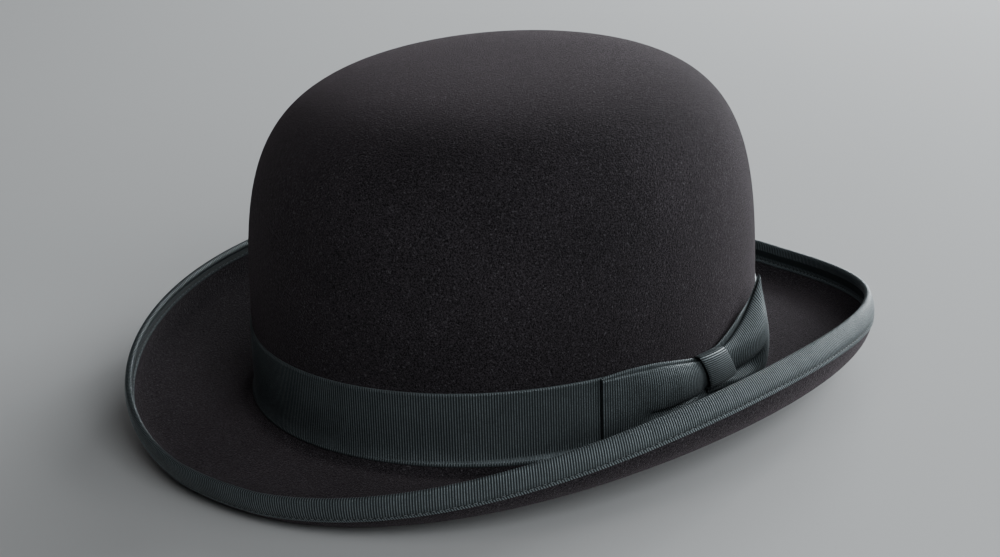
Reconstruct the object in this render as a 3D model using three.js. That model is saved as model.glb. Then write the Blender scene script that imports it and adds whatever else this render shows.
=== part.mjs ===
import * as THREE from 'three';

// Bowler hat, made as a hatter makes it: one stiff felt hood, trimmed with ribbon outside and fitted with
// a leather sweatband and a lining inside. Millimetres, +Z up. The wearer faces -Y, and the bow is on the
// wearer's left, at +X. Heights are counted from the join plane, where the crown wall would meet the brim,
// and the finished hat is lifted so that the two places it stands on are at Z = 0.

// Crown
const HALF_LENGTH = 103;
const HALF_WIDTH = 90;
const CROWN_HEIGHT = 123;
const SHOULDER_HEIGHT = 42;
const DOME_TOP_PULL = 0.815;
const DOME_SIDE_PULL = 0.855;
const FELT = 1.8;

// Brim: a straight run that rises at the sides and dips at front and back, then a rolled edge
const JOIN_RADIUS = 6;
const BRIM_WIDTH = 48.5;
const BRIM_WIDTH_SWING = 2.5;
const CURL_WIDTH = 18.5;
const RISE = 11;
const RISE_SWING = 17.75;
const CURL_END = 120;
const CURL_END_SWING = 30;
const FOOT_HALF_ANGLE = 7.5;
const FOOT_DEPTH = 0.4;

// Ribbon trim
const GAP = 0.3;
const RIBBON = 0.4;
const THREAD = 0.3;
const BAND_BOTTOM = 2.5;
const BAND_WIDTH = 28;
const BINDING_WIDTH = 7.5;
const STITCH_INSET = 1.2;

// Bow on the wearer's left
const KNOT_ANGLE = 93.5;
const KNOT_LENGTH = 14;
const KNOT_BOTTOM = 13;
const KNOT_TOP = 27.5;
const FRONT_FOLD_ANGLE = 65;
const REAR_FOLD_ANGLE = 115;
const REAR_FOLD_BOTTOM = 5;
const REAR_FOLD_TOP = 45;

// Inside of the crown
const LINING = 0.3;
const LINING_SEAM = 0.59;
const LINING_BOTTOM = 12;
const LEATHER = 0.8;
const SWEATBAND_HEIGHT = 44;
const REED_RADIUS = 0.9;
const REED_HEIGHT = 1.2;
const REED_INSET = 2.6;

const SEGMENTS = 48;
const rad = THREE.MathUtils.degToRad;

// Stations along the felt, from the middle of the dome out to the rim
const DOME = 1;
const WALL = 2;
const JOIN = 3;
const RUN = 4;
const RIM = 5;

const dome = new THREE.CubicBezierCurve(
  new THREE.Vector2(0, CROWN_HEIGHT),
  new THREE.Vector2(DOME_TOP_PULL, CROWN_HEIGHT),
  new THREE.Vector2(1, THREE.MathUtils.lerp(SHOULDER_HEIGHT, CROWN_HEIGHT, DOME_SIDE_PULL)),
  new THREE.Vector2(1, SHOULDER_HEIGHT),
);

// The crown wall's outline seen from above, with its outward direction; phi runs from the front to the left
function outline(phi) {
  const x = HALF_WIDTH * Math.sin(phi);
  const y = -HALF_LENGTH * Math.cos(phi);
  const out = new THREE.Vector2(x / HALF_WIDTH ** 2, y / HALF_LENGTH ** 2).normalize();
  return { x, y, out };
}

// +1 at front and back, -1 at the sides, and level over the two places the hat stands on
function dip(phi) {
  return Math.min(Math.cos(2 * phi), Math.cos(2 * rad(FOOT_HALF_ANGLE)));
}

// Distance out from the wall and height, along the join radius, the straight run and the curl
function brimSection(station, phi) {
  const rise = rad(RISE - RISE_SWING * dip(phi));
  const turn = Math.PI + Math.min(station - WALL, 1) * (Math.PI / 2 + rise);
  let out = JOIN_RADIUS * (1 + Math.cos(turn));
  let height = JOIN_RADIUS * (1 + Math.sin(turn));
  if (station > JOIN) {
    const run = BRIM_WIDTH + BRIM_WIDTH_SWING * dip(phi) - CURL_WIDTH;
    const along = run * Math.min(station - JOIN, 1);
    out += along * Math.cos(rise);
    height += along * Math.sin(rise);
  }
  if (station > RUN) {
    const sweep = rad(CURL_END - CURL_END_SWING * dip(phi)) - rise;
    const radius = CURL_WIDTH / sweep;
    const slope = rise + sweep * (station - RUN);
    out += radius * (Math.sin(slope) - Math.sin(rise));
    height -= radius * (Math.cos(slope) - Math.cos(rise));
  }
  return [out, height];
}

function feltTop(station, phi) {
  const { x, y, out } = outline(phi);
  if (station <= DOME) {
    const section = dome.getPoint(station);
    return new THREE.Vector3(x * section.x, y * section.x, section.y);
  }
  if (station <= WALL) {
    return new THREE.Vector3(x, y, THREE.MathUtils.lerp(SHOULDER_HEIGHT, JOIN_RADIUS, station - DOME));
  }
  const [distance, height] = brimSection(station, phi);
  return new THREE.Vector3(x + out.x * distance, y + out.y * distance, height);
}

// A point at a given offset above the felt's top surface
function onFelt(station, offset, phi) {
  const step = 1e-4;
  const normal = new THREE.Vector3(0, 0, 1);
  if (station > 0) {
    const along = feltTop(station + step, phi).sub(feltTop(station - step, phi));
    const around = feltTop(station, phi + step).sub(feltTop(station, phi - step));
    normal.crossVectors(along, around).normalize();
  }
  return feltTop(station, phi).addScaledVector(normal, offset);
}

// A point beside the upright crown wall, at a height and an offset outward from it
function besideWall(height, offset, phi) {
  const { x, y, out } = outline(phi);
  return new THREE.Vector3(x + out.x * offset, y + out.y * offset, height);
}

const wallStation = (height) => DOME + (SHOULDER_HEIGHT - height) / (SHOULDER_HEIGHT - JOIN_RADIUS);
const fromRim = (distance) => RIM - distance / CURL_WIDTH;

// Station in the join radius at a given height
function joinStation(height) {
  const turn = Math.asin(1 - height / JOIN_RADIUS);
  return WALL + turn / (Math.PI / 2 + rad(RISE));
}

// Turns the faces outward if a warp has turned them in
function faceOut(geometry) {
  const points = geometry.getAttribute('position');
  const index = geometry.getIndex();
  const corner = [0, 1, 2].map(() => new THREE.Vector3());
  let volume = 0;
  for (let i = 0; i < index.count; i += 3) {
    corner.forEach((point, k) => point.fromBufferAttribute(points, index.getX(i + k)));
    volume += corner[0].dot(corner[1].clone().cross(corner[2]));
  }
  if (volume < 0) {
    index.array.reverse();
  }
  geometry.computeVertexNormals();
  return geometry;
}

// Moves every point of a template geometry to place(point, uv)
function warp(geometry, place) {
  const points = geometry.getAttribute('position');
  const uvs = geometry.getAttribute('uv');
  for (let i = 0; i < points.count; i += 1) {
    const from = new THREE.Vector3().fromBufferAttribute(points, i);
    const uv = new THREE.Vector2().fromBufferAttribute(uvs, i);
    const to = place(from, uv);
    points.setXYZ(i, to.x, to.y, to.z);
  }
  return faceOut(geometry);
}

// A profile of [station or height, offset] pairs taken once round the hat
function roundTheHat(profile, place) {
  const template = new THREE.LatheGeometry(profile.map(([s, n]) => new THREE.Vector2(s, n)), SEGMENTS);
  return warp(template, (from) => place(Math.hypot(from.x, from.z), from.y, Math.atan2(from.x, from.z)));
}

// The profile of a layer between two offsets, out along the stations and back
function layer(stations, top, bottom) {
  const there = stations.map((s) => [s, top]);
  const back = stations.map((s) => [s, bottom]).reverse();
  return [...there, ...back];
}

const closed = (profile) => [...profile, profile[0]];

// A square-cornered strand with the given middle and half sizes
function strand(station, offset, halfStation, halfOffset) {
  return closed([
    [station - halfStation, offset - halfOffset],
    [station + halfStation, offset - halfOffset],
    [station + halfStation, offset + halfOffset],
    [station - halfStation, offset + halfOffset],
  ]);
}

// A closed ring whose four-cornered section is carried once round a path by place(turn, u, v)
function ribbonRing(stations, place) {
  const corners = [[-1, -1], [1, -1], [1, 1], [-1, 1]];
  const template = new THREE.TorusGeometry(1, 0.3, corners.length, stations);
  return warp(template, (from, uv) => {
    const [u, v] = corners[Math.round(uv.y * corners.length) % corners.length];
    return place(uv.x % 1, u, v);
  });
}

// Layers that lie on each other share their stations, so that their facets nest
const seamGap = 0.008;
const tipStations = [0, 0.12, 0.25, 0.38, 0.49, LINING_SEAM - seamGap];
const sideStations = [LINING_SEAM + seamGap, 0.69, 0.79, 0.89, DOME];
const bandFoot = joinStation(BAND_BOTTOM);
const bindingStations = [1, 2 / 3, 1 / 3, 0].map((f) => fromRim(f * BINDING_WIDTH));
const crownStations = [...tipStations, ...sideStations, WALL, bandFoot, 2.65];
const brimTopStations = [JOIN, 3.5, RUN, 4.2, 4.4, ...bindingStations];
const brimUnderStations = [JOIN, 3.5, 3.91, RUN, 4.07, 4.14, 4.21, 4.32, 4.45, ...bindingStations];

// The underside is pressed flat where the hat stands, at the front and the back
function lowestUnderside() {
  const heights = brimUnderStations.map((s) => onFelt(s, -FELT, 0).z);
  return Math.min(...heights);
}
const standHeight = lowestUnderside() + FOOT_DEPTH;

function feltBody() {
  const top = [...crownStations, ...brimTopStations].map((s) => [s, 0]);
  const under = [...crownStations, ...brimUnderStations].map((s) => [s, -FELT]).reverse();
  return roundTheHat([...top, ...under], (station, offset, phi) => {
    const point = onFelt(station, offset, phi);
    point.z = Math.max(point.z, standHeight);
    return point;
  });
}

// Ribbon folded over the rim, seen as a C in section
function brimBinding() {
  const skin = (clearance) => [
    ...bindingStations.map((s) => [s, clearance]),
    [fromRim(-GAP - clearance), -FELT / 2],
    ...bindingStations.map((s) => [s, -FELT - clearance]).reverse(),
  ];
  return roundTheHat(closed([...skin(GAP + RIBBON), ...skin(GAP).reverse()]), onFelt);
}

function bindingThread(offset) {
  const middle = fromRim(BINDING_WIDTH - STITCH_INSET);
  return roundTheHat(strand(middle, offset, THREAD / 2 / CURL_WIDTH, THREAD / 2), onFelt);
}

function hatBand() {
  const top = wallStation(BAND_BOTTOM + BAND_WIDTH);
  const stations = [top, WALL, bandFoot];
  return roundTheHat(closed(layer(stations, GAP + RIBBON, GAP)), onFelt);
}

// A loop of ribbon lying beside the wall: out from the knot on one leaf, round the fold and back, and
// across to the start. The leaves stay pinched inside the knot and spread beyond it.
function ribbonLoop(bow, loop) {
  const { leaf } = loop;
  const fold = 4;
  const around = 2 * leaf + fold + 1;
  const start = bow.phi + (loop.direction * GAP) / 2 / bow.reach;
  const knotEdge = bow.phi + (loop.direction * (bow.knotLength / 2 + GAP)) / bow.reach;
  return ribbonRing(around, (turn, u, v) => {
    const at = Math.round(turn * around) % around;
    const step = Math.min(at, leaf, around - 1 - at);
    const spread = Math.max(0, step - 1) / (leaf - 1);
    const half = (bow.leafGap + loop.bulge * Math.sin((Math.PI / 2) * spread)) / 2;
    const angle = (Math.PI * THREE.MathUtils.clamp(at - leaf, 0, fold)) / fold;
    const offset = bow.base + half - (half + (u * RIBBON) / 2) * Math.cos(angle);
    const beyond = (half + (u * RIBBON) / 2) * Math.sin(angle);
    const low = THREE.MathUtils.lerp(bow.pinchBottom, loop.foldBottom, Math.sqrt(spread));
    const high = THREE.MathUtils.lerp(bow.pinchTop, loop.foldTop, Math.sqrt(spread));
    const inward = (loop.direction * RIBBON * (1 - u)) / 2 / bow.reach;
    const bare = step === 0 ? start + inward : THREE.MathUtils.lerp(knotEdge, loop.foldPhi, spread);
    const phi = bare + (loop.direction * beyond) / bow.reach;
    return besideWall(v < 0 ? low : high, bow.side * offset, phi);
  });
}

// The knot: a short ribbon wrapped upright round the pinched ends of both loops, with bevelled corners
function ribbonKnot(bow) {
  // [side, up, stands clear in height, stands clear in depth] for each corner of the path
  const path = [
    [1, 1, 0, 1],
    [1, 1, 1, 0],
    [-1, 1, 1, 0],
    [-1, 1, 0, 1],
    [-1, -1, 0, 1],
    [-1, -1, 1, 0],
    [1, -1, 1, 0],
    [1, -1, 0, 1],
  ];
  return ribbonRing(path.length, (turn, u, v) => {
    const [across, up, tall, deep] = path[Math.round(turn * path.length)];
    const grown = (RIBBON * (1 + u)) / 2;
    const halfHeight = (bow.pinchTop - bow.pinchBottom) / 2 + 2 * GAP * tall + grown;
    const halfDepth = (bow.leafGap + RIBBON) / 2 + GAP * deep + grown;
    const height = (bow.pinchTop + bow.pinchBottom) / 2 + up * halfHeight;
    const offset = bow.base + bow.leafGap / 2 + across * halfDepth;
    const phi = bow.phi + (v * bow.knotLength) / 2 / bow.reach;
    return besideWall(height, bow.side * offset, phi);
  });
}

const bandFace = GAP + RIBBON;
const sideBow = {
  side: 1,
  phi: rad(KNOT_ANGLE),
  reach: HALF_LENGTH,
  base: bandFace + GAP + RIBBON + GAP + RIBBON / 2,
  leafGap: 2,
  pinchBottom: KNOT_BOTTOM + RIBBON + 2 * GAP,
  pinchTop: KNOT_TOP - RIBBON - 2 * GAP,
  knotLength: KNOT_LENGTH,
};
const frontLoop = {
  direction: -1,
  foldPhi: rad(FRONT_FOLD_ANGLE),
  leaf: 8,
  bulge: 0.5,
  foldBottom: BAND_BOTTOM + 0.5,
  foldTop: BAND_BOTTOM + BAND_WIDTH,
};
const rearLoop = {
  direction: 1,
  foldPhi: rad(REAR_FOLD_ANGLE),
  leaf: 8,
  bulge: 7,
  foldBottom: REAR_FOLD_BOTTOM,
  foldTop: REAR_FOLD_TOP,
};

// Tacking stitch that holds the knot's lower end to the hat band
function bowTack() {
  const template = new THREE.BoxGeometry(6, THREAD, THREAD, 4, 1, 1);
  return warp(template, (from) => {
    const phi = sideBow.phi + from.x / HALF_LENGTH;
    return besideWall(KNOT_BOTTOM - 1 + from.y, bandFace + GAP + THREAD / 2 + from.z, phi);
  });
}

// Inside, every layer is counted inward from the felt
const liningFace = -FELT - GAP;
const leatherFace = liningFace - LINING - GAP - 0.1;
const leatherFoot = leatherFace - 1.8;

function liningTip() {
  const stations = tipStations.filter((s, i) => i % 2 === 0 || i === tipStations.length - 1);
  return roundTheHat(layer(stations, liningFace, liningFace - LINING), onFelt);
}

function liningSide() {
  const stations = [...sideStations.filter((s, i) => i % 2 === 0), wallStation(LINING_BOTTOM)];
  return roundTheHat(closed(layer(stations, liningFace, liningFace - LINING)), onFelt);
}

function liningSeamCord() {
  return roundTheHat(strand(LINING_SEAM, liningFace - LINING, seamGap / 2, 0.4), onFelt);
}

function sweatband() {
  const foot = 1.8;
  const outer = [[foot, leatherFoot], [4, leatherFoot], [8, leatherFace], [SWEATBAND_HEIGHT, leatherFace]];
  const inner = outer.map(([z, n]) => [z, n - LEATHER]).reverse();
  return roundTheHat(closed([...outer, ...inner]), besideWall);
}

function sweatbandThread() {
  const offset = leatherFoot - LEATHER - GAP - THREAD / 2;
  return roundTheHat(strand(3, offset, THREAD / 2, THREAD / 2), besideWall);
}

// Plastic reed that keeps the foot of the sweatband round, in a tape that opens towards the leather
function sweatbandReed() {
  const corners = [0, 1, 2, 3, 4, 5].map((k) => (k * Math.PI) / 3);
  const section = corners.map((a) => [
    TURNING_LIFT + REED_HEIGHT + REED_RADIUS * Math.sin(a),
    -REED_INSET + REED_RADIUS * Math.cos(a),
  ]);
  return roundTheHat(closed(section), lowBesideWall);
}

function reedTape() {
  const angles = [-140, -84, -28, 28, 84, 140].map(rad);
  const arc = (radius) => angles.map((a) => [
    TURNING_LIFT + REED_HEIGHT + radius * Math.sin(a),
    -REED_INSET + radius * Math.cos(a),
  ]);
  const inner = REED_RADIUS + GAP;
  return roundTheHat(closed([...arc(inner + RIBBON), ...arc(inner).reverse()]), lowBesideWall);
}

// The reed reaches below the join plane, so its section is kept above zero while it is turned
const TURNING_LIFT = 10;
function lowBesideWall(height, offset, phi) {
  return besideWall(height - TURNING_LIFT, offset, phi);
}

const innerBow = {
  side: -1,
  phi: Math.PI,
  reach: HALF_WIDTH,
  base: -leatherFace + LEATHER + GAP + RIBBON + GAP + RIBBON / 2,
  leafGap: 1,
  pinchBottom: 13,
  pinchTop: 17,
  knotLength: 4,
};
const innerLoop = { leaf: 3, bulge: 0.6, foldBottom: 11, foldTop: 19 };
const INNER_LOOP_LENGTH = 11;

function innerBowLoop(direction) {
  const foldPhi = innerBow.phi + (direction * INNER_LOOP_LENGTH) / innerBow.reach;
  return ribbonLoop(innerBow, { ...innerLoop, direction, foldPhi });
}

// Blank paper size ticket, stuck inside the sweatband beside the bow
function sizeTicket() {
  const template = new THREE.BoxGeometry(14, 9, 0.2, 4, 1, 1);
  const face = leatherFace - LEATHER - GAP - 0.1;
  return warp(template, (from) => {
    const phi = rad(164) + from.x / HALF_WIDTH;
    return besideWall(30 + from.y, face + from.z, phi);
  });
}

const finish = (color, roughness) => ({ color, roughness, metalness: 0 });
const FELT_BLACK = finish(0x1c1b1d, 0.95);
const RIBBON_BLACK = finish(0x222829, 0.6);
const THREAD_BLACK = finish(0x2b3233, 0.7);
const LINING_SATIN = finish(0x2a2422, 0.35);
const LEATHER_BROWN = finish(0x3a2417, 0.5);
const REED_PLASTIC = finish(0xb8b09a, 0.4);
const TICKET_PAPER = finish(0xd8d0bc, 0.8);

const hat = new THREE.Group();
function add(name, geometry, look) {
  const mesh = new THREE.Mesh(geometry, new THREE.MeshStandardMaterial(look));
  mesh.name = name;
  hat.add(mesh);
}

add('felt_body', feltBody(), FELT_BLACK);
add('brim_binding', brimBinding(), RIBBON_BLACK);
add('binding_top_thread', bindingThread(2 * GAP + RIBBON + THREAD / 2), THREAD_BLACK);
add('binding_under_thread', bindingThread(-FELT - 2 * GAP - RIBBON - THREAD / 2), THREAD_BLACK);
add('hat_band', hatBand(), RIBBON_BLACK);
add('bow_front_loop', ribbonLoop(sideBow, frontLoop), RIBBON_BLACK);
add('bow_rear_loop', ribbonLoop(sideBow, rearLoop), RIBBON_BLACK);
add('bow_knot', ribbonKnot(sideBow), RIBBON_BLACK);
add('bow_tack_thread', bowTack(), THREAD_BLACK);
add('lining_tip', liningTip(), LINING_SATIN);
add('lining_side', liningSide(), LINING_SATIN);
add('lining_seam_cord', liningSeamCord(), LINING_SATIN);
add('sweatband', sweatband(), LEATHER_BROWN);
add('sweatband_thread', sweatbandThread(), THREAD_BLACK);
add('sweatband_reed', sweatbandReed(), REED_PLASTIC);
add('reed_tape', reedTape(), RIBBON_BLACK);
add('inner_bow_left_loop', innerBowLoop(-1), RIBBON_BLACK);
add('inner_bow_right_loop', innerBowLoop(1), RIBBON_BLACK);
add('inner_bow_knot', ribbonKnot(innerBow), RIBBON_BLACK);
add('size_ticket', sizeTicket(), TICKET_PAPER);

hat.position.z = -standHeight;

export default hat;
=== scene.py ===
import math

import bmesh
import bpy
import numpy as np
from mathutils import Matrix, Vector


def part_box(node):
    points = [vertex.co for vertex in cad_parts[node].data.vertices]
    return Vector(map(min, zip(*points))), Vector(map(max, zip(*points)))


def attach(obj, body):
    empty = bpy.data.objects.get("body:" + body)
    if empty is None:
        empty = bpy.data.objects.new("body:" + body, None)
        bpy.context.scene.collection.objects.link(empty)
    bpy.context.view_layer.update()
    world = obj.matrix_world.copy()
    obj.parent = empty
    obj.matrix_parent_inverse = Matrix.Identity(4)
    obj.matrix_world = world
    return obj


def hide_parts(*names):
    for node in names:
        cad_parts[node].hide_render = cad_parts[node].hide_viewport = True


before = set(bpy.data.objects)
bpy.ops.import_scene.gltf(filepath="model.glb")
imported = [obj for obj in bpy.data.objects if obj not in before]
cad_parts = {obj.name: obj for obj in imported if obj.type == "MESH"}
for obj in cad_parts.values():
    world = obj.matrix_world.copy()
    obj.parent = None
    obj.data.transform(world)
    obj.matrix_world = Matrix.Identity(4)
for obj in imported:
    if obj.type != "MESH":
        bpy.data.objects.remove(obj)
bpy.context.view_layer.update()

# Bowler hat. The formulas below are those of the CAD part, in millimetres, with heights counted from the
# join plane; place() turns them into metres in the frame, where the hat stands on Z = 0.
MM = 0.001
HALF_LENGTH = 103.0
HALF_WIDTH = 90.0
CROWN_HEIGHT = 123.0
SHOULDER_HEIGHT = 42.0
DOME_TOP_PULL = 0.815
DOME_SIDE_PULL = 0.855
FELT = 1.8
JOIN_RADIUS = 6.0
BRIM_WIDTH = 48.5
BRIM_WIDTH_SWING = 2.5
CURL_WIDTH = 18.5
RISE = 11.0
RISE_SWING = 17.75
CURL_END = 120.0
CURL_END_SWING = 30.0
FOOT_HALF_ANGLE = 7.5
EDGE_ROUNDING = 0.5
BAND_BOTTOM = 2.5
BAND_WIDTH = 28.0
BAND_DIP = 4.8
BAND_DIP_REACH = 24
BINDING_WIDTH = 7.5
STITCH_LINE = BINDING_WIDTH - 1.25
KNOT_ANGLE = math.radians(93.5)
RIB_PITCH = 0.95
SAMPLES_PER_RIB = 4
# An even middle level of the painted rib light, between painted groove shade and painted rib highlight, for
# plain ribbons
PLAIN_PAINTED_RIB_LIGHT = 0.74
ROUND_SAMPLES = 2881
STRAND_STEPS = 7
STRAND_SIDES = 6
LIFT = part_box("felt_body")[1][2] / MM - CROWN_HEIGHT

# Stations along the felt, from the middle of the dome out to the rim
DOME, WALL, JOIN, RUN, RIM = 1.0, 2.0, 3.0, 4.0, 5.0


# ---------------------------------------------------------------- the hat's form

def bezier(t, p0, p1, p2, p3):
    s = 1 - t
    return s ** 3 * p0 + 3 * s * s * t * p1 + 3 * s * t * t * p2 + t ** 3 * p3


def outline(phi):
    """The crown wall seen from above, with its outward direction; phi runs from the front to the left."""
    x, y = HALF_WIDTH * np.sin(phi), -HALF_LENGTH * np.cos(phi)
    out_x, out_y = x / HALF_WIDTH ** 2, y / HALF_LENGTH ** 2
    size = np.hypot(out_x, out_y)
    return x, y, out_x / size, out_y / size


def dip(phi):
    """+1 at front and back, -1 at the sides, and level over the two places the hat stands on."""
    return np.minimum(np.cos(2 * phi), math.cos(2 * math.radians(FOOT_HALF_ANGLE)))


def brim_section(station, phi):
    """Distance out from the wall and height, along the join radius, the straight run and the curl."""
    rise = np.radians(RISE - RISE_SWING * dip(phi))
    turn = np.pi + np.clip(station - WALL, 0, 1) * (np.pi / 2 + rise)
    run = (BRIM_WIDTH + BRIM_WIDTH_SWING * dip(phi) - CURL_WIDTH) * np.clip(station - JOIN, 0, 1)
    sweep = np.radians(CURL_END - CURL_END_SWING * dip(phi)) - rise
    radius = CURL_WIDTH / sweep
    slope = rise + sweep * np.maximum(station - RUN, 0)
    out = JOIN_RADIUS * (1 + np.cos(turn)) + run * np.cos(rise) + radius * (np.sin(slope) - np.sin(rise))
    height = JOIN_RADIUS * (1 + np.sin(turn)) + run * np.sin(rise) - radius * (np.cos(slope) - np.cos(rise))
    return out, height


def felt_top(station, phi):
    """A point of the felt's top surface."""
    station, phi = np.broadcast_arrays(np.asarray(station, float), np.asarray(phi, float))
    x, y, out_x, out_y = outline(phi)
    t = np.clip(station, -0.01, DOME)
    side = SHOULDER_HEIGHT + (CROWN_HEIGHT - SHOULDER_HEIGHT) * DOME_SIDE_PULL
    scale = bezier(t, 0, DOME_TOP_PULL, 1, 1)
    dome_height = bezier(t, CROWN_HEIGHT, CROWN_HEIGHT, side, SHOULDER_HEIGHT)
    wall_height = SHOULDER_HEIGHT + (JOIN_RADIUS - SHOULDER_HEIGHT) * (station - DOME)
    out, height = brim_section(station, phi)
    on_brim = station > WALL
    out = np.where(on_brim, out, 0)
    below_dome = np.where(on_brim, height, wall_height)
    z = np.where(station <= DOME, dome_height, below_dome)
    return np.stack([x * scale + out_x * out, y * scale + out_y * out, z], -1)


def on_felt(station, offset, phi):
    """A point at a given offset above the felt's top surface."""
    step = 1e-4
    station, phi = np.broadcast_arrays(np.asarray(station, float), np.asarray(phi, float))
    along = felt_top(station + step, phi) - felt_top(station - step, phi)
    around = felt_top(station, phi + step) - felt_top(station, phi - step)
    normal = np.cross(along, around)
    size = np.linalg.norm(normal, axis=-1, keepdims=True)
    normal = np.where(size > 1e-12, normal / np.maximum(size, 1e-12), np.array([0.0, 0, 1]))
    return felt_top(station, phi) + normal * np.asarray(offset, float)[..., None]


def beside_wall(height, offset, phi):
    """A point beside the upright crown wall, at a height and an offset outward from it."""
    x, y, out_x, out_y = outline(phi)
    height = np.broadcast_to(height, np.broadcast(height, x, offset).shape)
    return np.stack([x + out_x * offset, y + out_y * offset, height], -1)


def wall_station(height):
    """The station of a height on the upright wall."""
    return DOME + (SHOULDER_HEIGHT - height) / (SHOULDER_HEIGHT - JOIN_RADIUS)


def join_station(height):
    """The station of a height on the join's radius, where the wall turns into the brim."""
    return WALL + math.asin(1 - height / JOIN_RADIUS) / (math.pi / 2 + math.radians(RISE))


def from_rim(distance):
    """The station of a distance in from the rim, along the curl."""
    return RIM - distance / CURL_WIDTH


def smooth(t):
    t = np.clip(t, 0, 1)
    return t * t * (3 - 2 * t)


def running_length(points):
    """Length along a line of points, from 0 at the first."""
    return np.concatenate([[0], np.cumsum(np.linalg.norm(np.diff(points, axis=0), axis=1))])


def even_angles(path, pitch, per_pitch=1):
    """Angles that cut path(phi), a closed line round the hat, into equal lengths of about one pitch, with
    per_pitch of them to each, and the line's whole length."""
    phi = np.linspace(0, 2 * np.pi, ROUND_SAMPLES)
    length = running_length(path(phi))
    count = int(length[-1] / pitch) * per_pitch
    even = np.linspace(0, length[-1], count, endpoint=False)
    return np.interp(even, length, phi), length[-1]


def full_turn(count):
    """Equal angles once round, without the last one, which is the first again."""
    return np.linspace(0, 2 * np.pi, count, endpoint=False)


# ---------------------------------------------------------------- meshes

def place(points):
    """Millimetres over the join plane to metres in the frame."""
    return (np.asarray(points) + np.array([0, 0, LIFT])) * MM


def new_piece(name, points, faces, material, replaced, slot, crest=None):
    """The last argument, which mostly follows how far each point stands up on its rib, is painted light for
    the ribbon's material: painted shade in the groove, a painted highlight on top of the rib.
    """
    mesh = bpy.data.meshes.new(name)
    mesh.from_pydata(place(points).tolist(), [], faces)
    if crest is not None:
        crest = np.zeros(len(points)) + np.ravel(crest)
        mesh.attributes.new("crest", "FLOAT", "POINT").data.foreach_set("value", crest)
    shaping = bmesh.new()
    shaping.from_mesh(mesh)
    bmesh.ops.remove_doubles(shaping, verts=shaping.verts, dist=1e-6)
    bmesh.ops.recalc_face_normals(shaping, faces=shaping.faces)
    shaping.to_mesh(mesh)
    shaping.free()
    mesh.polygons.foreach_set("use_smooth", [True] * len(mesh.polygons))
    mesh.materials.append(material)
    piece = bpy.data.objects.new(name, mesh)
    bpy.context.scene.collection.objects.link(piece)
    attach(piece, "root")
    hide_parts(*replaced)
    return piece


def grid_faces(rows, columns, wrap_rows, start=0):
    """Quads of a grid that closes on itself along its columns and, with wrap_rows, along its rows too."""
    i, j = np.meshgrid(np.arange(rows if wrap_rows else rows - 1), np.arange(columns), indexing="ij")
    down, right = (i + 1) % rows, (j + 1) % columns
    quads = np.stack([i * columns + j, down * columns + j, down * columns + right, i * columns + right], -1)
    return (quads.reshape(-1, 4) + start).tolist()


def grid_piece(name, points, material, wrap_rows=True, **how):
    faces = grid_faces(*points.shape[:2], wrap_rows)
    return new_piece(name, points.reshape(-1, 3), faces, material, **how)


def strand_faces(count):
    """Faces of `count` separate strands with closed ends, each STRAND_STEPS rings of STRAND_SIDES points."""
    faces = []
    size = STRAND_STEPS * STRAND_SIDES
    for first in range(0, count * size, size):
        last = first + size - STRAND_SIDES
        faces += grid_faces(STRAND_STEPS, STRAND_SIDES, False, first)
        faces.append([first + j for j in range(STRAND_SIDES)])
        faces.append([last + j for j in range(STRAND_SIDES)][::-1])
    return faces


def cap_ends(piece):
    """Close the open ends of a strip."""
    shaping = bmesh.new()
    shaping.from_mesh(piece.data)
    open_edges = [edge for edge in shaping.edges if edge.is_boundary]
    bmesh.ops.holes_fill(shaping, edges=open_edges)
    bmesh.ops.recalc_face_normals(shaping, faces=shaping.faces)
    shaping.to_mesh(piece.data)
    shaping.free()


def rib_profile(turn):
    """Height of a grosgrain rib, from 0 in the groove to 1 on top, at `turn` ribs along the ribbon."""
    return np.sin(np.pi * (turn % 1)) ** 1.2


# ---------------------------------------------------------------- materials

def new_material(name):
    material = bpy.data.materials.new(name)
    material.use_nodes = True
    tree = material.node_tree
    return material, tree, tree.nodes["Principled BSDF"]


def noise(tree, scale, detail, roughness, stretch=None):
    """Noise in object space; scale is features per metre."""
    where = tree.nodes.new("ShaderNodeTexCoord").outputs["Object"]
    if stretch:
        mapping = tree.nodes.new("ShaderNodeMapping")
        mapping.inputs["Scale"].default_value = stretch
        tree.links.new(where, mapping.inputs["Vector"])
        where = mapping.outputs["Vector"]
    node = tree.nodes.new("ShaderNodeTexNoise")
    node.inputs["Scale"].default_value = scale
    node.inputs["Detail"].default_value = detail
    node.inputs["Roughness"].default_value = roughness
    tree.links.new(where, node.inputs["Vector"])
    return node.outputs["Fac"]


def ramp(tree, factor, stops):
    """A colour ramp; stops are (position, colour) pairs."""
    node = tree.nodes.new("ShaderNodeValToRGB")
    tree.links.new(factor, node.inputs["Fac"])
    elements = node.color_ramp.elements
    while len(elements) < len(stops):
        elements.new(0.5)
    for element, (position, color) in zip(elements, stops):
        element.position = position
        element.color = (*color, 1)
    return node.outputs["Color"]


def mix(tree, kind, factor, a, b):
    node = tree.nodes.new("ShaderNodeMix")
    node.data_type = "RGBA"
    node.blend_type = kind
    node.inputs["Factor"].default_value = factor
    for value, socket in ((a, node.inputs["A"]), (b, node.inputs["B"])):
        tree.links.new(value, socket)
    return node.outputs["Result"]


def bump(tree, height, distance, strength=1.0, under=None):
    node = tree.nodes.new("ShaderNodeBump")
    node.inputs["Distance"].default_value = distance
    node.inputs["Strength"].default_value = strength
    tree.links.new(height, node.inputs["Height"])
    if under is not None:
        tree.links.new(under, node.inputs["Normal"])
    return node.outputs["Normal"]


def spread_value(tree, factor, low, high, start=0.0, stop=1.0):
    """A value that goes from low to high while the factor goes from start to stop."""
    node = tree.nodes.new("ShaderNodeMapRange")
    node.inputs["From Min"].default_value = start
    node.inputs["From Max"].default_value = stop
    node.inputs["To Min"].default_value = low
    node.inputs["To Max"].default_value = high
    tree.links.new(factor, node.inputs["Value"])
    return node.outputs["Result"]


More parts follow.
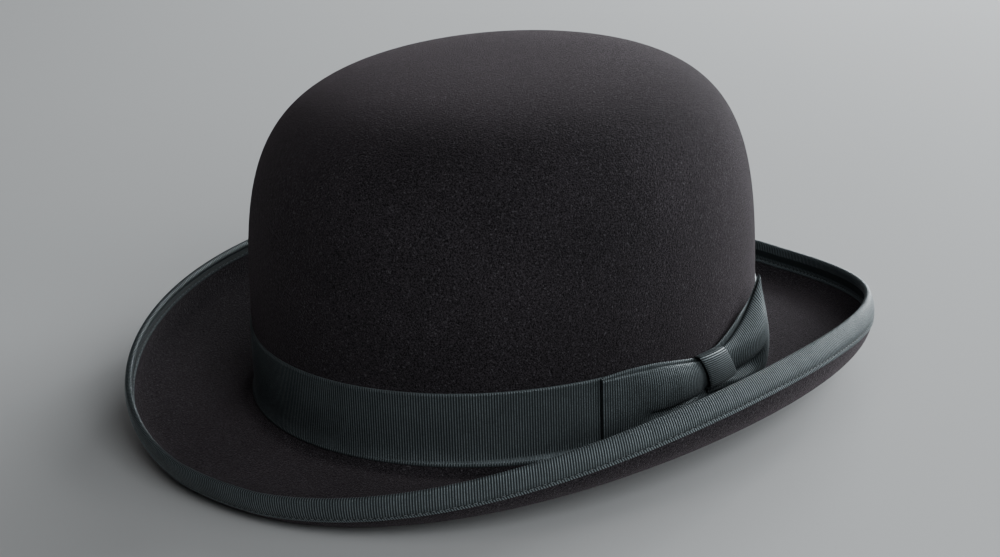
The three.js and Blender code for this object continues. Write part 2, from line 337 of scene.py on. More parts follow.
def felt_material():
    """Short-nap black felt: dark matt ground, lighter fibre ends, and a velvety sheen at grazing angles."""
    material, tree, shader = new_material("felt_black")
    fibres = noise(tree, 2000, 2, 0.65)
    flecks = noise(tree, 1300, 1, 0.5)
    clouds = noise(tree, 28, 3, 0.55)
    ground = ramp(tree, fibres, [(0.34, (0.004, 0.0036, 0.004)), (0.66, (0.051, 0.045, 0.05))])
    light_ends = ramp(tree, flecks, [(0.6, (0.0, 0.0, 0.0)), (0.75, (0.05, 0.048, 0.052))])
    shade = ramp(tree, clouds, [(0.3, (0.85, 0.85, 0.86)), (0.7, (1.12, 1.1, 1.12))])
    color = mix(tree, "MULTIPLY", 1.0, mix(tree, "ADD", 1.0, ground, light_ends), shade)
    tree.links.new(color, shader.inputs["Base Color"])
    shader.inputs["Roughness"].default_value = 0.95
    shader.inputs["Specular IOR Level"].default_value = 0.1
    shader.inputs["Sheen Weight"].default_value = 0.24
    shader.inputs["Sheen Roughness"].default_value = 0.35
    shader.inputs["Sheen Tint"].default_value = (0.7, 0.58, 0.63, 1)
    nap = bump(tree, flecks, 0.0003, 0.7)
    tree.links.new(bump(tree, fibres, 0.0005, 1.0, nap), shader.inputs["Normal"])
    return material


def ribbon_material():
    """Black grosgrain: painted shade makes it dark between the ribs, and a painted highlight makes the warp
    threads over each rib shine a cold grey-green.
    """
    material, tree, shader = new_material("grosgrain_black")
    crest = tree.nodes.new("ShaderNodeAttribute")
    crest.attribute_name = "crest"
    threads = noise(tree, 2600, 2, 0.6)
    wear = noise(tree, 120, 3, 0.5)
    # Painted shade and painted highlight: the colour runs from nearly black in each groove to a light cold
    # grey-green on top of each rib.
    rib_shade_and_highlight = ramp(tree, crest.outputs["Fac"], [
        (0.48, (0.0012, 0.0014, 0.0015)), (0.75, (0.052, 0.061, 0.064)), (1.0, (0.19, 0.222, 0.235))])
    fine = ramp(tree, threads, [(0.3, (0.55, 0.55, 0.55)), (0.7, (1.45, 1.45, 1.45))])
    shade = ramp(tree, wear, [(0.3, (0.85, 0.85, 0.85)), (0.7, (1.15, 1.15, 1.15))])
    color = mix(tree, "MULTIPLY", 1.0, mix(tree, "MULTIPLY", 1.0, rib_shade_and_highlight, fine), shade)
    tree.links.new(color, shader.inputs["Base Color"])
    shine = spread_value(tree, crest.outputs["Fac"], 0.95, 0.34, 0.35, 0.85)
    tree.links.new(shine, shader.inputs["Roughness"])
    shader.inputs["Specular IOR Level"].default_value = 0.9
    shader.inputs["Specular Tint"].default_value = (0.84, 0.96, 1, 1)
    shader.inputs["Anisotropic"].default_value = 0.6
    shader.inputs["Anisotropic Rotation"].default_value = 0.25
    shader.inputs["Sheen Weight"].default_value = 0.04
    shader.inputs["Sheen Roughness"].default_value = 0.35
    shader.inputs["Sheen Tint"].default_value = (0.7, 0.78, 0.8, 1)
    tree.links.new(bump(tree, threads, 0.00008, 0.8), shader.inputs["Normal"])
    return material


def thread_material():
    material, tree, shader = new_material("thread_black")
    twist = noise(tree, 4000, 1, 0.5)
    color = ramp(tree, twist, [(0.3, (0.09, 0.1, 0.105)), (0.7, (0.24, 0.265, 0.275))])
    tree.links.new(color, shader.inputs["Base Color"])
    shader.inputs["Roughness"].default_value = 0.5
    tree.links.new(bump(tree, twist, 0.0001, 0.6), shader.inputs["Normal"])
    return material


def satin_material():
    material, tree, shader = new_material("lining_satin")
    weave = noise(tree, 1800, 2, 0.6, stretch=(1, 1, 6))
    folds = noise(tree, 45, 2, 0.5)
    color = ramp(tree, weave, [(0.3, (0.035, 0.02, 0.018)), (0.7, (0.075, 0.05, 0.045))])
    tree.links.new(color, shader.inputs["Base Color"])
    shader.inputs["Roughness"].default_value = 0.34
    shader.inputs["Sheen Weight"].default_value = 0.15
    small = bump(tree, weave, 0.00006, 0.6)
    tree.links.new(bump(tree, folds, 0.0006, 0.35, small), shader.inputs["Normal"])
    return material


def leather_material():
    material, tree, shader = new_material("sweatband_leather")
    where = tree.nodes.new("ShaderNodeTexCoord").outputs["Object"]
    cells = tree.nodes.new("ShaderNodeTexVoronoi")
    cells.feature = "DISTANCE_TO_EDGE"
    cells.inputs["Scale"].default_value = 900
    tree.links.new(where, cells.inputs["Vector"])
    grain = noise(tree, 350, 4, 0.6)
    color = ramp(tree, grain, [(0.3, (0.045, 0.018, 0.009)), (0.7, (0.11, 0.048, 0.024))])
    tree.links.new(color, shader.inputs["Base Color"])
    tree.links.new(spread_value(tree, grain, 0.32, 0.5), shader.inputs["Roughness"])
    pores = bump(tree, cells.outputs["Distance"], 0.00008, 0.5)
    tree.links.new(bump(tree, grain, 0.0003, 0.3, pores), shader.inputs["Normal"])
    return material


def reed_material():
    material, tree, shader = new_material("reed_plastic")
    streaks = noise(tree, 400, 2, 0.5)
    color = ramp(tree, streaks, [(0.3, (0.4, 0.36, 0.28)), (0.7, (0.5, 0.47, 0.38))])
    tree.links.new(color, shader.inputs["Base Color"])
    shader.inputs["Roughness"].default_value = 0.4
    return material


def paper_material():
    material, tree, shader = new_material("ticket_paper")
    pulp = noise(tree, 1500, 3, 0.6)
    color = ramp(tree, pulp, [(0.3, (0.6, 0.55, 0.43)), (0.7, (0.72, 0.67, 0.55))])
    tree.links.new(color, shader.inputs["Base Color"])
    shader.inputs["Roughness"].default_value = 0.85
    tree.links.new(bump(tree, pulp, 0.00005, 0.5), shader.inputs["Normal"])
    return material


def floor_material():
    material, tree, shader = new_material("floor_paper")
    tone = ramp(tree, noise(tree, 2, 2, 0.5), [(0.3, (0.66, 0.66, 0.66)), (0.7, (0.68, 0.68, 0.68))])
    tree.links.new(tone, shader.inputs["Base Color"])
    shader.inputs["Roughness"].default_value = 0.9
    return material


FELT_LOOK = felt_material()
RIBBON_LOOK = ribbon_material()
THREAD_LOOK = thread_material()
SATIN_LOOK = satin_material()
LEATHER_LOOK = leather_material()
REED_LOOK = reed_material()
PAPER_LOOK = paper_material()


# ---------------------------------------------------------------- felt

def on_floor(points):
    """Flattened where they would go below the floor the hat stands on."""
    points[..., 2] = np.maximum(points[..., 2], -LIFT)
    return points


def felt_body():
    """The hood: crown and brim in one, top side out to the rim and back along the underside."""
    top = np.concatenate([
        np.linspace(0, 0.97 * DOME, 46), np.linspace(DOME, WALL, 8), np.linspace(2.15, JOIN, 7),
        np.linspace(3.08, RUN, 12), np.linspace(4.05, RIM, 20)])
    phi = full_turn(288)
    stations = np.concatenate([top, [from_rim(-EDGE_ROUNDING)], top[::-1]])
    offsets = np.concatenate([np.zeros(len(top)), [-FELT / 2], np.full(len(top), -FELT)])
    points = on_floor(on_felt(stations[:, None], offsets[:, None], phi[None, :]))
    grid_piece("felt_hood", points, FELT_LOOK, wrap_rows=False, replaced=["felt_body"], slot="felt")


# ---------------------------------------------------------------- grosgrain trim

def columns_of(table):
    """The columns of a table, each as a column vector."""
    return [column[:, None] for column in np.array(table, float).T]


def rib_samples(path):
    """Angles along path(phi), SAMPLES_PER_RIB to a rib, the rib profile at each, and the path's length."""
    phi, length = even_angles(path, RIB_PITCH, SAMPLES_PER_RIB)
    return phi, rib_profile(np.arange(len(phi)) / SAMPLES_PER_RIB), length


def band_top(phi):
    """Height of the band's upper edge, which the knot pulls down."""
    away = (phi - KNOT_ANGLE) * HALF_LENGTH
    return BAND_BOTTOM + BAND_WIDTH - BAND_DIP * np.exp(-(away / BAND_DIP_REACH) ** 4)


def ribbed_band():
    """The hat band, with its ribs upright and its two woven edges."""
    middle = wall_station(BAND_BOTTOM + BAND_WIDTH / 2)
    wall_share, join_share = 0.85, 0.15

    def path(phi):
        return on_felt(middle, 0.4 + 0 * phi, phi)

    phi, rib, length = rib_samples(path)
    # share of the width from the top, height in the groove, height on the rib, evenness of the rib's painted
    # shade and highlight
    share, low, high, plain = columns_of([
        (0, 0.2, 0.2, 1), (0.01, 0.45, 0.62, 0.5), (0.035, 0.5, 0.74, 0.3), (0.055, 0.36, 0.6, 0),
        (0.25, 0.34, 0.58, 0), (0.5, 0.34, 0.58, 0), (0.75, 0.34, 0.58, 0),
        (0.945, 0.36, 0.6, 0), (0.965, 0.5, 0.74, 0.3), (0.99, 0.45, 0.62, 0.5), (1, 0.2, 0.2, 1)])
    top, foot = wall_station(band_top(phi)), join_station(BAND_BOTTOM)
    on_wall = top + (WALL - top) * share / wall_share
    on_join = WALL + (foot - WALL) * (share - wall_share) / join_share
    station = np.where(share < wall_share, on_wall, on_join)
    face = on_felt(station, low + (high - low) * rib, phi[None, :])
    back = on_felt(station[[10, 6, 0]], np.full((3, 1), 0.05), phi[None, :])
    # Painted rib light: painted shade in the grooves and a painted highlight on the ribs, evened towards the
    # woven edges; the back against the felt takes the full painted highlight.
    crest = np.concatenate([rib + (0.8 - rib) * plain, np.ones(back.shape[:2])])
    band = grid_piece("hat_band_ribbon", np.concatenate([face, back]), RIBBON_LOOK,
                      replaced=["hat_band"], slot="ribbon", crest=crest)


def ribbed_binding():
    """Ribbon folded over the rim. Its ribs cross the edge, and slant where the stitching holds them down."""
    def path(phi):
        return on_felt(RIM, -FELT / 2 + 0 * phi, phi)

    phi, rib, length = rib_samples(path)
    # From the woven edge, over the stitch line, to the fold: distance from the rim, height in the groove,
    # height on the rib, slant in ribs, painted shade in the groove, painted light on the rib; the stitch
    # line's row is painted dark as shade and the woven edge's bead painted light
    inset, low, high, slant, dark, light = columns_of([
        (BINDING_WIDTH, 0.02, 0.02, 0.75, 0.2, 0.7), (BINDING_WIDTH - 0.1, 0.12, 0.34, 0.7, 0, 1.1),
        (BINDING_WIDTH - 0.55, 0.14, 0.44, 0.4, 0, 1.15), (BINDING_WIDTH - 1, 0.1, 0.34, 0.12, 0, 1),
        (STITCH_LINE, 0.06, 0.1, 0, 0, 0.25), (STITCH_LINE - 0.3, 0.12, 0.34, 0, 0, 0.9),
        (0.6 * BINDING_WIDTH, 0.16, 0.42, 0, 0, 1), (0.35 * BINDING_WIDTH, 0.16, 0.42, 0, 0, 1),
        (0.12 * BINDING_WIDTH, 0.16, 0.42, 0, 0, 1), (0, 0.16, 0.42, 0, 0, 1)])
    height = low + (high - low) * rib
    turn = phi[None, :] + slant * (2 * np.pi * SAMPLES_PER_RIB / len(phi))
    flat_crest = dark + (light - dark) * rib
    fold = np.radians([[55], [20], [-20], [-55]])
    bulge = FELT / 2 + 0.16 + 0.26 * rib
    fold_station = from_rim(-0.75 * np.cos(fold) * bulge)
    fold_offset = -FELT / 2 + np.sin(fold) * bulge
    station = np.concatenate([from_rim(inset + 0 * rib), fold_station, from_rim(inset[::-1] + 0 * rib)])
    offset = np.concatenate([height, fold_offset, -FELT - height[::-1]])
    around = np.concatenate([turn, phi + 0 * fold, turn[::-1]])
    crest = np.concatenate([flat_crest, rib + 0 * fold, flat_crest[::-1]])
    # The inside strips of the binding take the darkest painted groove shade.
    inner_station = from_rim(BINDING_WIDTH * np.array([[0.9], [0.05], [0.05], [0.9]])) + 0 * rib
    inner_offset = np.array([[-FELT - 0.01], [-FELT - 0.01], [0.01], [0.01]]) + 0 * rib
    points = on_floor(on_felt(
        np.concatenate([station, inner_station]), np.concatenate([offset, inner_offset]),
        np.concatenate([around, phi + 0 * inner_station])))
    binding = grid_piece("rim_binding_ribbon", points, RIBBON_LOOK, replaced=["brim_binding"], slot="ribbon",
                         crest=np.concatenate([crest, 0 * inner_station]))


def stitch_row(name, path, normal_of, pitch, length, radius, replaced):
    """Separate stitches along path(phi): short arched strands that dip into the cloth at their ends."""
    slack, sway_spread = 0.35, 0.07
    start, _ = even_angles(path, pitch)
    count = len(start)
    seeded = np.random.default_rng(7)
    along = np.linspace(0, 1, STRAND_STEPS)
    ring = full_turn(STRAND_SIDES)
    step = (np.roll(start, -1) - start)[:, None] % (2 * np.pi)
    angles = start[:, None] + step * (length / pitch) * along[None]
    line = path(angles.reshape(-1)).reshape(count, STRAND_STEPS, 3)
    up = normal_of(angles.reshape(-1)).reshape(count, STRAND_STEPS, 3)
    ahead = np.gradient(line, axis=1)
    ahead /= np.linalg.norm(ahead, axis=-1, keepdims=True)
    side = np.cross(ahead, up)
    arch = np.sin(np.pi * along)
    sway = seeded.normal(0, sway_spread, (count, 1, 1)) * side
    line = line + up * ((arch ** 0.5 - slack) * radius * 1.6)[None, :, None] + sway
    girth = radius * (0.55 + 0.45 * arch)
    sideways = np.cos(ring)[:, None] * girth[:, None, None]
    upward = np.sin(ring)[:, None] * girth[:, None, None]
    rings = line[:, :, None] + side[:, :, None] * sideways + up[:, :, None] * upward
    new_piece(name, rings.reshape(-1, 3), strand_faces(count), THREAD_LOOK, replaced=replaced, slot="thread")


def binding_stitches(name, replaced, offset, side):
    """One row of the binding's stitches; side is 1 over the brim and -1 under it."""
    station = from_rim(STITCH_LINE)

    def path(phi):
        return on_felt(station, offset + 0 * phi, phi)

    def normal_of(phi):
        return side * (on_felt(station, 1 + 0 * phi, phi) - on_felt(station, 0 * phi, phi))

    stitch_row(name, path, normal_of, pitch=2.4, length=1.5, radius=0.13, replaced=replaced)


# ---------------------------------------------------------------- the bow

def spline(controls, count):
    """Catmull-Rom curve through the controls along axis 0, resampled to `count` equal steps in parameter."""
    controls = np.asarray(controls, float)
    ends = np.concatenate([[2 * controls[0] - controls[1]], controls, [2 * controls[-1] - controls[-2]]])
    t = np.linspace(0, len(controls) - 1, count)
    k = np.minimum(t.astype(int), len(controls) - 2)
    f = (t - k).reshape((-1,) + (1,) * (controls.ndim - 1))
    a, b, c, d = ends[k], ends[k + 1], ends[k + 2], ends[k + 3]
    return 0.5 * (2 * b + (c - a) * f + (2 * a - 5 * b + 4 * c - d) * f ** 2
                  + (3 * b - a - 3 * c + d) * f ** 3)


def net_surface(net, along, across, point):
    """A smooth grid of points, along x across, through a control net of (u, z, n)."""
    fine = spline(net, along)
    fine = np.swapaxes(spline(np.swapaxes(fine, 0, 1), across), 0, 1)
    return point(fine[..., 0], fine[..., 1], fine[..., 2])


def normals_of(surface):
    """Unit normals of a grid of points."""
    normal = np.cross(np.gradient(surface, axis=0), np.gradient(surface, axis=1))
    return normal / (np.linalg.norm(normal, axis=-1, keepdims=True) + 1e-12)


def respace(points, length, count):
    """Rows of a grid respaced to equal lengths along axis 0; length is the running length at its rows."""
    even = np.linspace(0, length[-1], count)
    flat = points.reshape(len(points), -1)
    columns = [np.interp(even, length, flat[:, k]) for k in range(flat.shape[1])]
    return np.stack(columns, -1).reshape(count, *points.shape[1:])


def bow_point(u, z, n):
    """u is the distance along the band from the knot, towards the back."""
    return beside_wall(z, n, KNOT_ANGLE + u / HALF_LENGTH)


def ribbon_strip(name, net, replaced, across=29):
    """A length of grosgrain over a control net [along][across] of (u, z, n), ribbed on both faces."""
    bead_start, very_edge = 0.92, 0.999
    surface = net_surface(net, 160, across, bow_point)
    running = running_length(surface[:, across // 2])
    length = running[-1]
    count = int(length / RIB_PITCH) * SAMPLES_PER_RIB + 1
    surface = respace(surface, running, count)
    rib = rib_profile(np.arange(count) / SAMPLES_PER_RIB)[:, None, None]
    normal = normals_of(surface)
    edge = np.abs(np.linspace(-1, 1, across))[None, :, None]
    bead = np.where(edge > bead_start, 0.07, 0.0)
    half = np.where(edge > very_edge, 0.05, 0.1 + 0.14 * rib + bead)
    face, back = surface + normal * half, surface - normal * half
    points = np.concatenate([face, back[:, ::-1]], axis=1)
    # Painted rib light: painted shade in the grooves, a painted highlight on the ribs, evened towards a
    # middle level on the woven edges' bead.
    crest = np.where(edge > bead_start, 0.3 + 0.6 * rib, rib)[..., 0]
    piece = grid_piece(name, points, RIBBON_LOOK, wrap_rows=False, replaced=replaced, slot="ribbon",
                       crest=np.concatenate([crest, crest], axis=1))
    cap_ends(piece)


def flat_row(u, low, high, offset):
    """A straight row of seven points of a net, from the ribbon's lower edge to its upper edge."""
    return [(u, low + (high - low) * k / 6, offset) for k in range(7)]


def row(u, points):
    """A row of a net: (z, n) or (z, n, du) for each point from the lower edge to the upper edge."""
    return [(u + sum(point[2:]), point[0], point[1]) for point in points]


def front_loop():
    """Flat towards the front; towards the knot a pleat opens below the middle of the outer leaf."""
    net = [
        flat_row(-1, 16, 25.0, 1.3),
        flat_row(-9, 8, 27, 1.3),
        flat_row(-18, 4, 29, 1.3),
        flat_row(-28, 3.2, 30.8, 1.2),
        flat_row(-39, 3, 31.5, 1.2),
        flat_row(-47, 3, 31.1, 1.2),
        flat_row(-49.6, 3, 30.8, 1.4),
        flat_row(-50.4, 3, 30.5, 2.0),
        flat_row(-49.6, 3, 30.3, 2.6),
        row(-42, [(3, 2.6), (7.5, 2.9), (12, 3.2), (16.5, 3.4), (21, 3.4), (25.8, 3.2), (30.4, 2.6)]),
        row(-34, [(3, 2.8), (8.2, 3.5), (12, 3.1), (15.6, 3.7), (20.8, 4.0), (26, 3.7), (30.1, 2.7)]),
        row(-27, [(3, 3.0), (9.8, 3.7), (12.7, 1.5), (14.1, 4.6), (20.0, 5.2),
                  (25.5, 4.5), (29.6, 2.9)]),
        row(-18.6, [(3.4, 3.0), (10.7, 3.5), (12.8, 0.9), (14.2, 5.1), (19.6, 5.8),
                    (24.4, 5.0), (28.3, 3.1)]),
        row(-10, [(3.8, 2.7), (10.5, 2.7), (12.3, 0.9), (13.8, 4.3), (18.6, 5.1),
                  (22.8, 4.7), (26.5, 3.2)]),
        row(-5, [(5, 2.1), (9.8, 1.9), (12.1, 0.9), (13.7, 3.1), (18.0, 4.0),
                 (22.0, 3.9), (25.3, 2.9)]),
        row(0, [(8, 1.4), (10.6, 1.2), (12.4, 0.9), (14.2, 2.2), (17.4, 3.0),
                (20.8, 3.2), (24.2, 2.6)]),
    ]
    ribbon_strip("bow_front_loop_ribbon", net, ["bow_front_loop"])


def rear_loop():
    """Fans up and out to a tip beside the crown, with a pleat between its upper and lower parts."""
    net = [
        flat_row(3, 16, 25.4, 1.3),
        flat_row(9, 9, 27.4, 1.4),
        flat_row(17, 5.5, 30.2, 1.8),
        flat_row(25, 4, 33.4, 2.2),
        row(32, [(3.6, 3.2), (9.5, 3.0), (15.5, 2.8), (21.5, 2.6), (27.0, 2.5),
                 (31.5, 2.5), (35.6, 2.6)]),
        row(37.5, [(3.5, 4.4), (9.5, 4.6), (16, 4.3), (22.5, 3.9), (28.6, 3.5),
                   (34, 3.2), (38.6, 3.1)]),
        row(39.8, [(3.5, 5.4, -1.6), (9.6, 6.0), (16, 6.0), (22.4, 5.7), (29, 5.1),
                   (35.5, 4.4), (42.4, 3.9)]),
        row(40.2, [(3.5, 6.2, -3), (9.8, 7.4, -1), (16, 7.6), (22, 7.4), (28.8, 6.6),
                   (35.6, 5.7), (43, 4.7)]),
        row(38, [(3.6, 6.8, -3), (10, 8.4, -1), (16.2, 8.9), (22, 8.8), (28.5, 7.9),
                 (34.4, 6.7), (40.2, 4.5)]),
        row(33.5, [(3.8, 6.6, -1), (9.8, 8.4), (15.6, 8.8), (21.6, 9.6), (27.6, 9.1),
                   (32, 7.3), (35.8, 3.5)]),
        row(27, [(4.2, 5.4), (9.4, 7.0), (13.4, 4.6), (18.4, 8.6), (24.2, 8.8),
                 (28.8, 6.6), (32, 3.1)]),
        row(20, [(5.4, 3.8), (9.4, 5.0), (12.6, 2.2), (16.2, 6.3), (21.4, 7.0),
                 (25.6, 5.5), (28.7, 2.8)]),
        row(13, [(8, 2.2), (10.4, 2.7), (12.4, 1.1), (15.2, 3.9), (19.6, 4.6),
                 (23.4, 4.2), (26.2, 2.6)]),
        row(6, [(9.4, 1.5), (11, 1.4), (12.5, 1.0), (14.6, 2.8), (18.2, 3.6), (22, 3.5), (25.0, 2.4)]),
        row(1, [(10, 1.2), (11.4, 1.1), (12.6, 0.9), (14.4, 2.2), (17.6, 3.0),
                (20.8, 3.1), (24.2, 2.5)]),
    ]
    ribbon_strip("bow_rear_loop_ribbon", net, ["bow_rear_loop"])


def bow_knot():
    """The knot goes round the pinched loops and leans back at its foot; its ribs run along the band."""
    # (z, n, middle u, half width) down the outer face, under, up behind and over the top
    path = [
        (26.9, 4.2, 0.4, 7.6), (25.2, 5.1, 1.1, 7.7), (20.6, 5.6, 3.6, 7.9), (16.2, 5.4, 6.0, 8.5),
        (13.5, 4.8, 7.3, 8.9), (12.7, 3.0, 7.4, 9.0), (13.4, 0.95, 7.0, 8.6), (20.4, 0.9, 3.4, 7.8),
        (26.0, 1.1, 1.0, 7.6), (26.8, 2.6, 0.5, 7.6),
    ]
    net = []
    for z, n, middle, half in path + path[:1]:
        rounding = 0.4 * (n > 4)
        net.append([(middle + half * t, z - 0.4 * t, n - rounding * t * t) for t in np.linspace(-1, 1, 5)])
    ribbon_strip("bow_knot_ribbon", net, ["bow_knot"], across=17)


def bow_tack():
    """Two small tacking stitches under the knot."""
    radius, height, reach = 0.15, 12.0, 1.8
    ring = full_turn(STRAND_SIDES)
    section = radius * np.stack([np.cos(ring), 0 * ring, np.sin(ring)], -1)
    arch = 0.9 + 0.35 * np.sin(np.linspace(0, np.pi, STRAND_STEPS))
    middles = (-2.5, 2.5)
    strands = []
    for u in middles:
        line = bow_point(u + np.linspace(-reach, reach, STRAND_STEPS), height, arch)
        strands.append((line[:, None] + section).reshape(-1, 3))
    new_piece("bow_tacks", np.concatenate(strands), strand_faces(len(middles)), THREAD_LOOK,
              replaced=["bow_tack_thread"], slot="thread")


# ---------------------------------------------------------------- inside the crown

LINING_FACE = -2.1
LINING = 0.3
LINING_SEAM = 0.59
LINING_BOTTOM = 12.0
SEAM_CORD_SCALE = 130
LEATHER = 0.8
LEATHER_FACE = -2.8
LEATHER_FOOT = -4.6
INNER_BOW_FACE = -LEATHER_FACE + LEATHER
SWEATBAND_HEIGHT = 44.0
SWEATBAND_SEAM = 3.0
REED_RADIUS = 0.9
REED_CENTER = (1.2, -2.6)


def ring_piece(name, profile, placing, columns, material, **how):
    """A closed profile of (height or station, offset) pairs taken once round the hat."""
    phi = full_turn(columns)
    s, n = columns_of(profile)
    points = placing(s, n + 0 * phi[None, :], phi[None, :])
    grid_piece(name, points, material, **how)


def round_section(center, radius, count, start=0.0, stop=2 * math.pi, end=False):
    """Points (height, offset) of a circle or an arc; angle 0 is on its outward side."""
    angles = np.linspace(start, stop, count, endpoint=end)
    return [(center[0] + radius * math.sin(a), center[1] + radius * math.cos(a)) for a in angles]


def lining_tip():
    stations = np.linspace(0, LINING_SEAM - 0.004, 26)
    phi = full_turn(120)
    station = np.concatenate([stations, stations[::-1]])[:, None]
    offset = np.repeat([LINING_FACE, LINING_FACE - LINING], len(stations))[:, None]
    points = on_felt(station, offset + 0 * phi[None, :], phi[None, :])
    tip = grid_piece("lining_tip_satin", points, SATIN_LOOK, wrap_rows=False,
                     replaced=["lining_tip"], slot="lining")


def lining_side():
    """The side piece is gathered a little where it meets the tip, in soft upright folds."""
    on_wall = [1.3, 1.6, wall_station(LINING_BOTTOM)]
    stations = np.concatenate([np.linspace(LINING_SEAM + 0.004, DOME, 26), on_wall])
    phi = full_turn(360)
    fade = np.exp(-((stations - LINING_SEAM) / 0.12))[:, None]
    folds = 0.25 * fade * (1 + np.sin(72 * phi + 1.7 * np.sin(5 * phi)))[None, :]
    inner = on_felt(stations[:, None], LINING_FACE - LINING - folds, phi[None, :])
    outer = on_felt(stations[::-1, None], LINING_FACE + 0 * folds[::-1], phi[None, :])
    side = grid_piece("lining_side_satin", np.concatenate([inner, outer]), SATIN_LOOK,
                      replaced=["lining_side"], slot="lining")


def lining_cord():
    """Corded seam between the tip and the side; SEAM_CORD_SCALE turns its height into stations."""
    section = round_section((0, LINING_FACE - 0.35), 0.45, 10)
    section = [(LINING_SEAM + z / SEAM_CORD_SCALE, n) for z, n in section]
    ring_piece("lining_seam_piping", section, on_felt, 360, SATIN_LOOK,
               replaced=["lining_seam_cord"], slot="lining")


def sweatband():
    """Leather turned up inside the crown, thinned at its top edge and pressed by the head into soft waves."""
    top = SWEATBAND_HEIGHT
    outer = [(1.8, LEATHER_FOOT), (4, LEATHER_FOOT), (6, LEATHER_FOOT + 0.8), (8, LEATHER_FACE),
             (20, LEATHER_FACE), (32, LEATHER_FACE), (40, LEATHER_FACE), (top - 0.6, LEATHER_FACE),
             (top, LEATHER_FACE - 0.2)]
    inner = [(z, n - LEATHER) for z, n in outer[:-1]][::-1]
    z, n = columns_of(outer + [(top, LEATHER_FACE - 0.6)] + inner)
    phi = full_turn(300)
    waves = 0.18 * smooth((z - 8) / 20) * (np.sin(9 * phi + 1) + 0.6 * np.sin(23 * phi))[None, :]
    points = beside_wall(z + 0 * waves, n + np.minimum(waves, 0.25), phi[None, :])
    grid_piece("sweatband_leather_strip", points, LEATHER_LOOK, replaced=["sweatband"], slot="leather")


def sweatband_stitches():
    offset = LEATHER_FOOT - LEATHER

    def path(phi):
        return beside_wall(SWEATBAND_SEAM, offset, phi)

    def normal_of(phi):
        return beside_wall(SWEATBAND_SEAM, offset - 1, phi) - beside_wall(SWEATBAND_SEAM, offset, phi)

    stitch_row("sweatband_stitches", path, normal_of, pitch=4.0, length=3.0, radius=0.2,
               replaced=["sweatband_thread"])


def reed():
    section = round_section(REED_CENTER, REED_RADIUS, 10)
    ring_piece("sweatband_reed_cord", section, beside_wall, 240, REED_LOOK,
               replaced=["sweatband_reed"], slot="reed")


def reed_tape():
    """Tape folded round the reed, open towards the leather."""
    wide = math.radians(140)
    outer = round_section(REED_CENTER, REED_RADIUS + 0.7, 12, -wide, wide, True)
    inner = round_section(REED_CENTER, REED_RADIUS + 0.25, 12, wide, -wide, True)
    ring_piece("reed_tape_strip", outer + inner, beside_wall, 300, RIBBON_LOOK,
               replaced=["reed_tape"], slot="ribbon", crest=PLAIN_PAINTED_RIB_LIGHT)


def inner_bow_point(u, z, n):
    """u is the distance along the sweatband from its back seam, n the distance in from the leather."""
    return beside_wall(z, -INNER_BOW_FACE - n, np.pi + u / HALF_WIDTH)


def plain_strip(name, net, replaced):
    """A narrow ribbon over a control net of (u, z, n) on the inside of the sweatband's back seam."""
    surface = net_surface(net, 60, 9, inner_bow_point)
    half = normals_of(surface) * 0.12
    points = np.concatenate([surface + half, (surface - half)[:, ::-1]], axis=1)
    piece = grid_piece(name, points, RIBBON_LOOK, wrap_rows=False, replaced=replaced, slot="ribbon",
                       crest=PLAIN_PAINTED_RIB_LIGHT)
    cap_ends(piece)


def inner_bow():
    """The small bow over the sweatband's back seam."""
    # (u, half width, n) from the seam out to the fold and back
    loop = [(0.3, 2, 0.8), (3, 3.2, 0.6), (8, 4, 0.6), (10.6, 4, 1.1),
            (8, 4, 1.7), (3, 3.2, 1.9), (0.3, 2, 1.6)]
    for side, name in ((-1, "left"), (1, "right")):
        net = [[(side * u, z, n) for z in (15 - half, 15, 15 + half)] for u, half, n in loop]
        plain_strip("inner_bow_%s_ribbon" % name, net, ["inner_bow_%s_loop" % name])
    ring = [(12.4, 1.0), (12.6, 1.9), (15, 2.4), (17.4, 1.9), (17.6, 1.0), (15, 0.35), (12.4, 1.0)]
    net = [[(u, z, n - 0.1 * abs(u)) for u in (-1.8, 0, 1.8)] for z, n in ring]
    plain_strip("inner_bow_knot_ribbon", net, ["inner_bow_knot"])


def size_ticket():
    """Blank paper ticket inside the sweatband, with its corners just lifting."""
    half_length, half_height, middle, paper = 7, 4.5, 30, 0.15
    u, z = np.meshgrid(np.linspace(-half_length, half_length, 15), np.linspace(-half_height, half_height, 10),
                       indexing="ij")
    lift = 0.15 + 0.2 * (np.abs(u) / half_length) ** 6 * (np.abs(z) / half_height) ** 2
    angle = math.radians(164) + u / HALF_WIDTH
    top = beside_wall(middle + z, -INNER_BOW_FACE - lift - paper, angle)
    under = beside_wall(middle + z, -INNER_BOW_FACE - lift, angle)
    points = np.concatenate([top, under[:, ::-1]], axis=1)
    piece = grid_piece("size_ticket_paper", points, PAPER_LOOK, wrap_rows=False,
                       replaced=["size_ticket"], slot="ticket")
    cap_ends(piece)


# ---------------------------------------------------------------- the set

CAMERA_AZIMUTH = math.radians(42.34)
CAMERA_ELEVATION = math.radians(20.63)
CAMERA_ROLL = math.radians(-1.79)
CAMERA_DISTANCE = 0.989
CAMERA_LENS = 93.2
AIM_RIGHT = -0.0022
AIM_HEIGHT = 0.0362
LIGHT_DISTANCE = 1.6
LIGHT_AIM_HEIGHT = 0.06
FLOOR_HALF_SIZE = 8.0


def direction(azimuth, elevation):
    """Unit vector away from the hat; azimuth 0 is in front of it and a quarter turn is on its left."""
    level = math.cos(elevation)
    return Vector((math.sin(azimuth) * level, -math.cos(azimuth) * level, math.sin(elevation)))


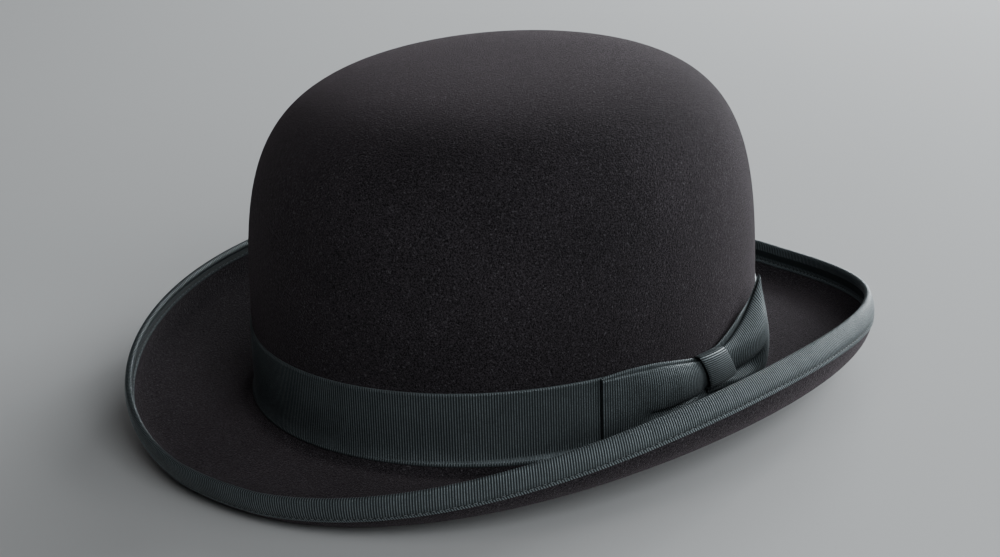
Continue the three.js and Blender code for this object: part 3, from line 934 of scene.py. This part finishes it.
def add_camera():
    back = direction(CAMERA_AZIMUTH, CAMERA_ELEVATION)
    right = Vector((math.cos(CAMERA_AZIMUTH), math.sin(CAMERA_AZIMUTH), 0))
    up = back.cross(right)
    turned_right = right * math.cos(CAMERA_ROLL) + up * math.sin(CAMERA_ROLL)
    turned_up = up * math.cos(CAMERA_ROLL) - right * math.sin(CAMERA_ROLL)
    target = right * AIM_RIGHT + Vector((0, 0, AIM_HEIGHT + LIFT * MM))
    data = bpy.data.cameras.new("camera")
    data.lens = CAMERA_LENS
    data.sensor_width = 36
    data.clip_start = 0.02
    camera = bpy.data.objects.new("camera", data)
    bpy.context.scene.collection.objects.link(camera)
    turn = Matrix((turned_right, turned_up, back)).transposed()
    camera.matrix_world = Matrix.Translation(target + back * CAMERA_DISTANCE) @ turn.to_4x4()
    bpy.context.scene.camera = camera


def softbox(name, bearing, elevation, power, size=0.9, color=(1, 1, 1)):
    """A square softbox turned to the hat; bearing 0 is over the camera and 90 to its right."""
    middle = Vector((0, 0, LIGHT_AIM_HEIGHT))
    toward = direction(CAMERA_AZIMUTH + math.radians(bearing), math.radians(elevation))
    data = bpy.data.lights.new(name, "AREA")
    data.shape = "SQUARE"
    data.size = size
    data.energy = power
    data.color = color
    lamp = bpy.data.objects.new(name, data)
    lamp.location = middle + LIGHT_DISTANCE * toward
    lamp.rotation_euler = (middle - lamp.location).to_track_quat("-Z", "Y").to_euler()
    bpy.context.scene.collection.objects.link(lamp)


def add_set():
    mesh = bpy.data.meshes.new("floor")
    size = FLOOR_HALF_SIZE
    corners = [(-size, -size, 0), (size, -size, 0), (size, size, 0), (-size, size, 0)]
    mesh.from_pydata(corners, [], [(0, 1, 2, 3)])
    mesh.materials.append(floor_material())
    floor = bpy.data.objects.new("floor", mesh)
    bpy.context.scene.collection.objects.link(floor)
    world = bpy.data.worlds.new("studio")
    bpy.context.scene.world = world
    world.use_nodes = True
    background = world.node_tree.nodes["Background"]
    background.inputs["Color"].default_value = (0.9, 0.95, 1, 1)
    background.inputs["Strength"].default_value = 0.02
    cool = (0.93, 0.975, 1)
    softbox("key_back_right", 122, 15, 26, size=1.05, color=cool)
    softbox("back_right", 152, 14, 19, color=cool)
    softbox("right_low", 66, 12, 2, color=cool)
    softbox("right_high", 60, 30, 2.2, color=cool)
    softbox("front", 25, 30, 9, color=cool)
    softbox("top_front", -30, 58, 1.6)


add_camera()
add_set()
felt_body()
ribbed_band()
ribbed_binding()
binding_stitches("binding_top_stitches", ["binding_top_thread"], 0.18, 1)
binding_stitches("binding_under_stitches", ["binding_under_thread"], -FELT - 0.18, -1)
front_loop()
rear_loop()
bow_knot()
bow_tack()
lining_tip()
lining_side()
lining_cord()
sweatband()
sweatband_stitches()
reed()
reed_tape()
inner_bow()
size_ticket()
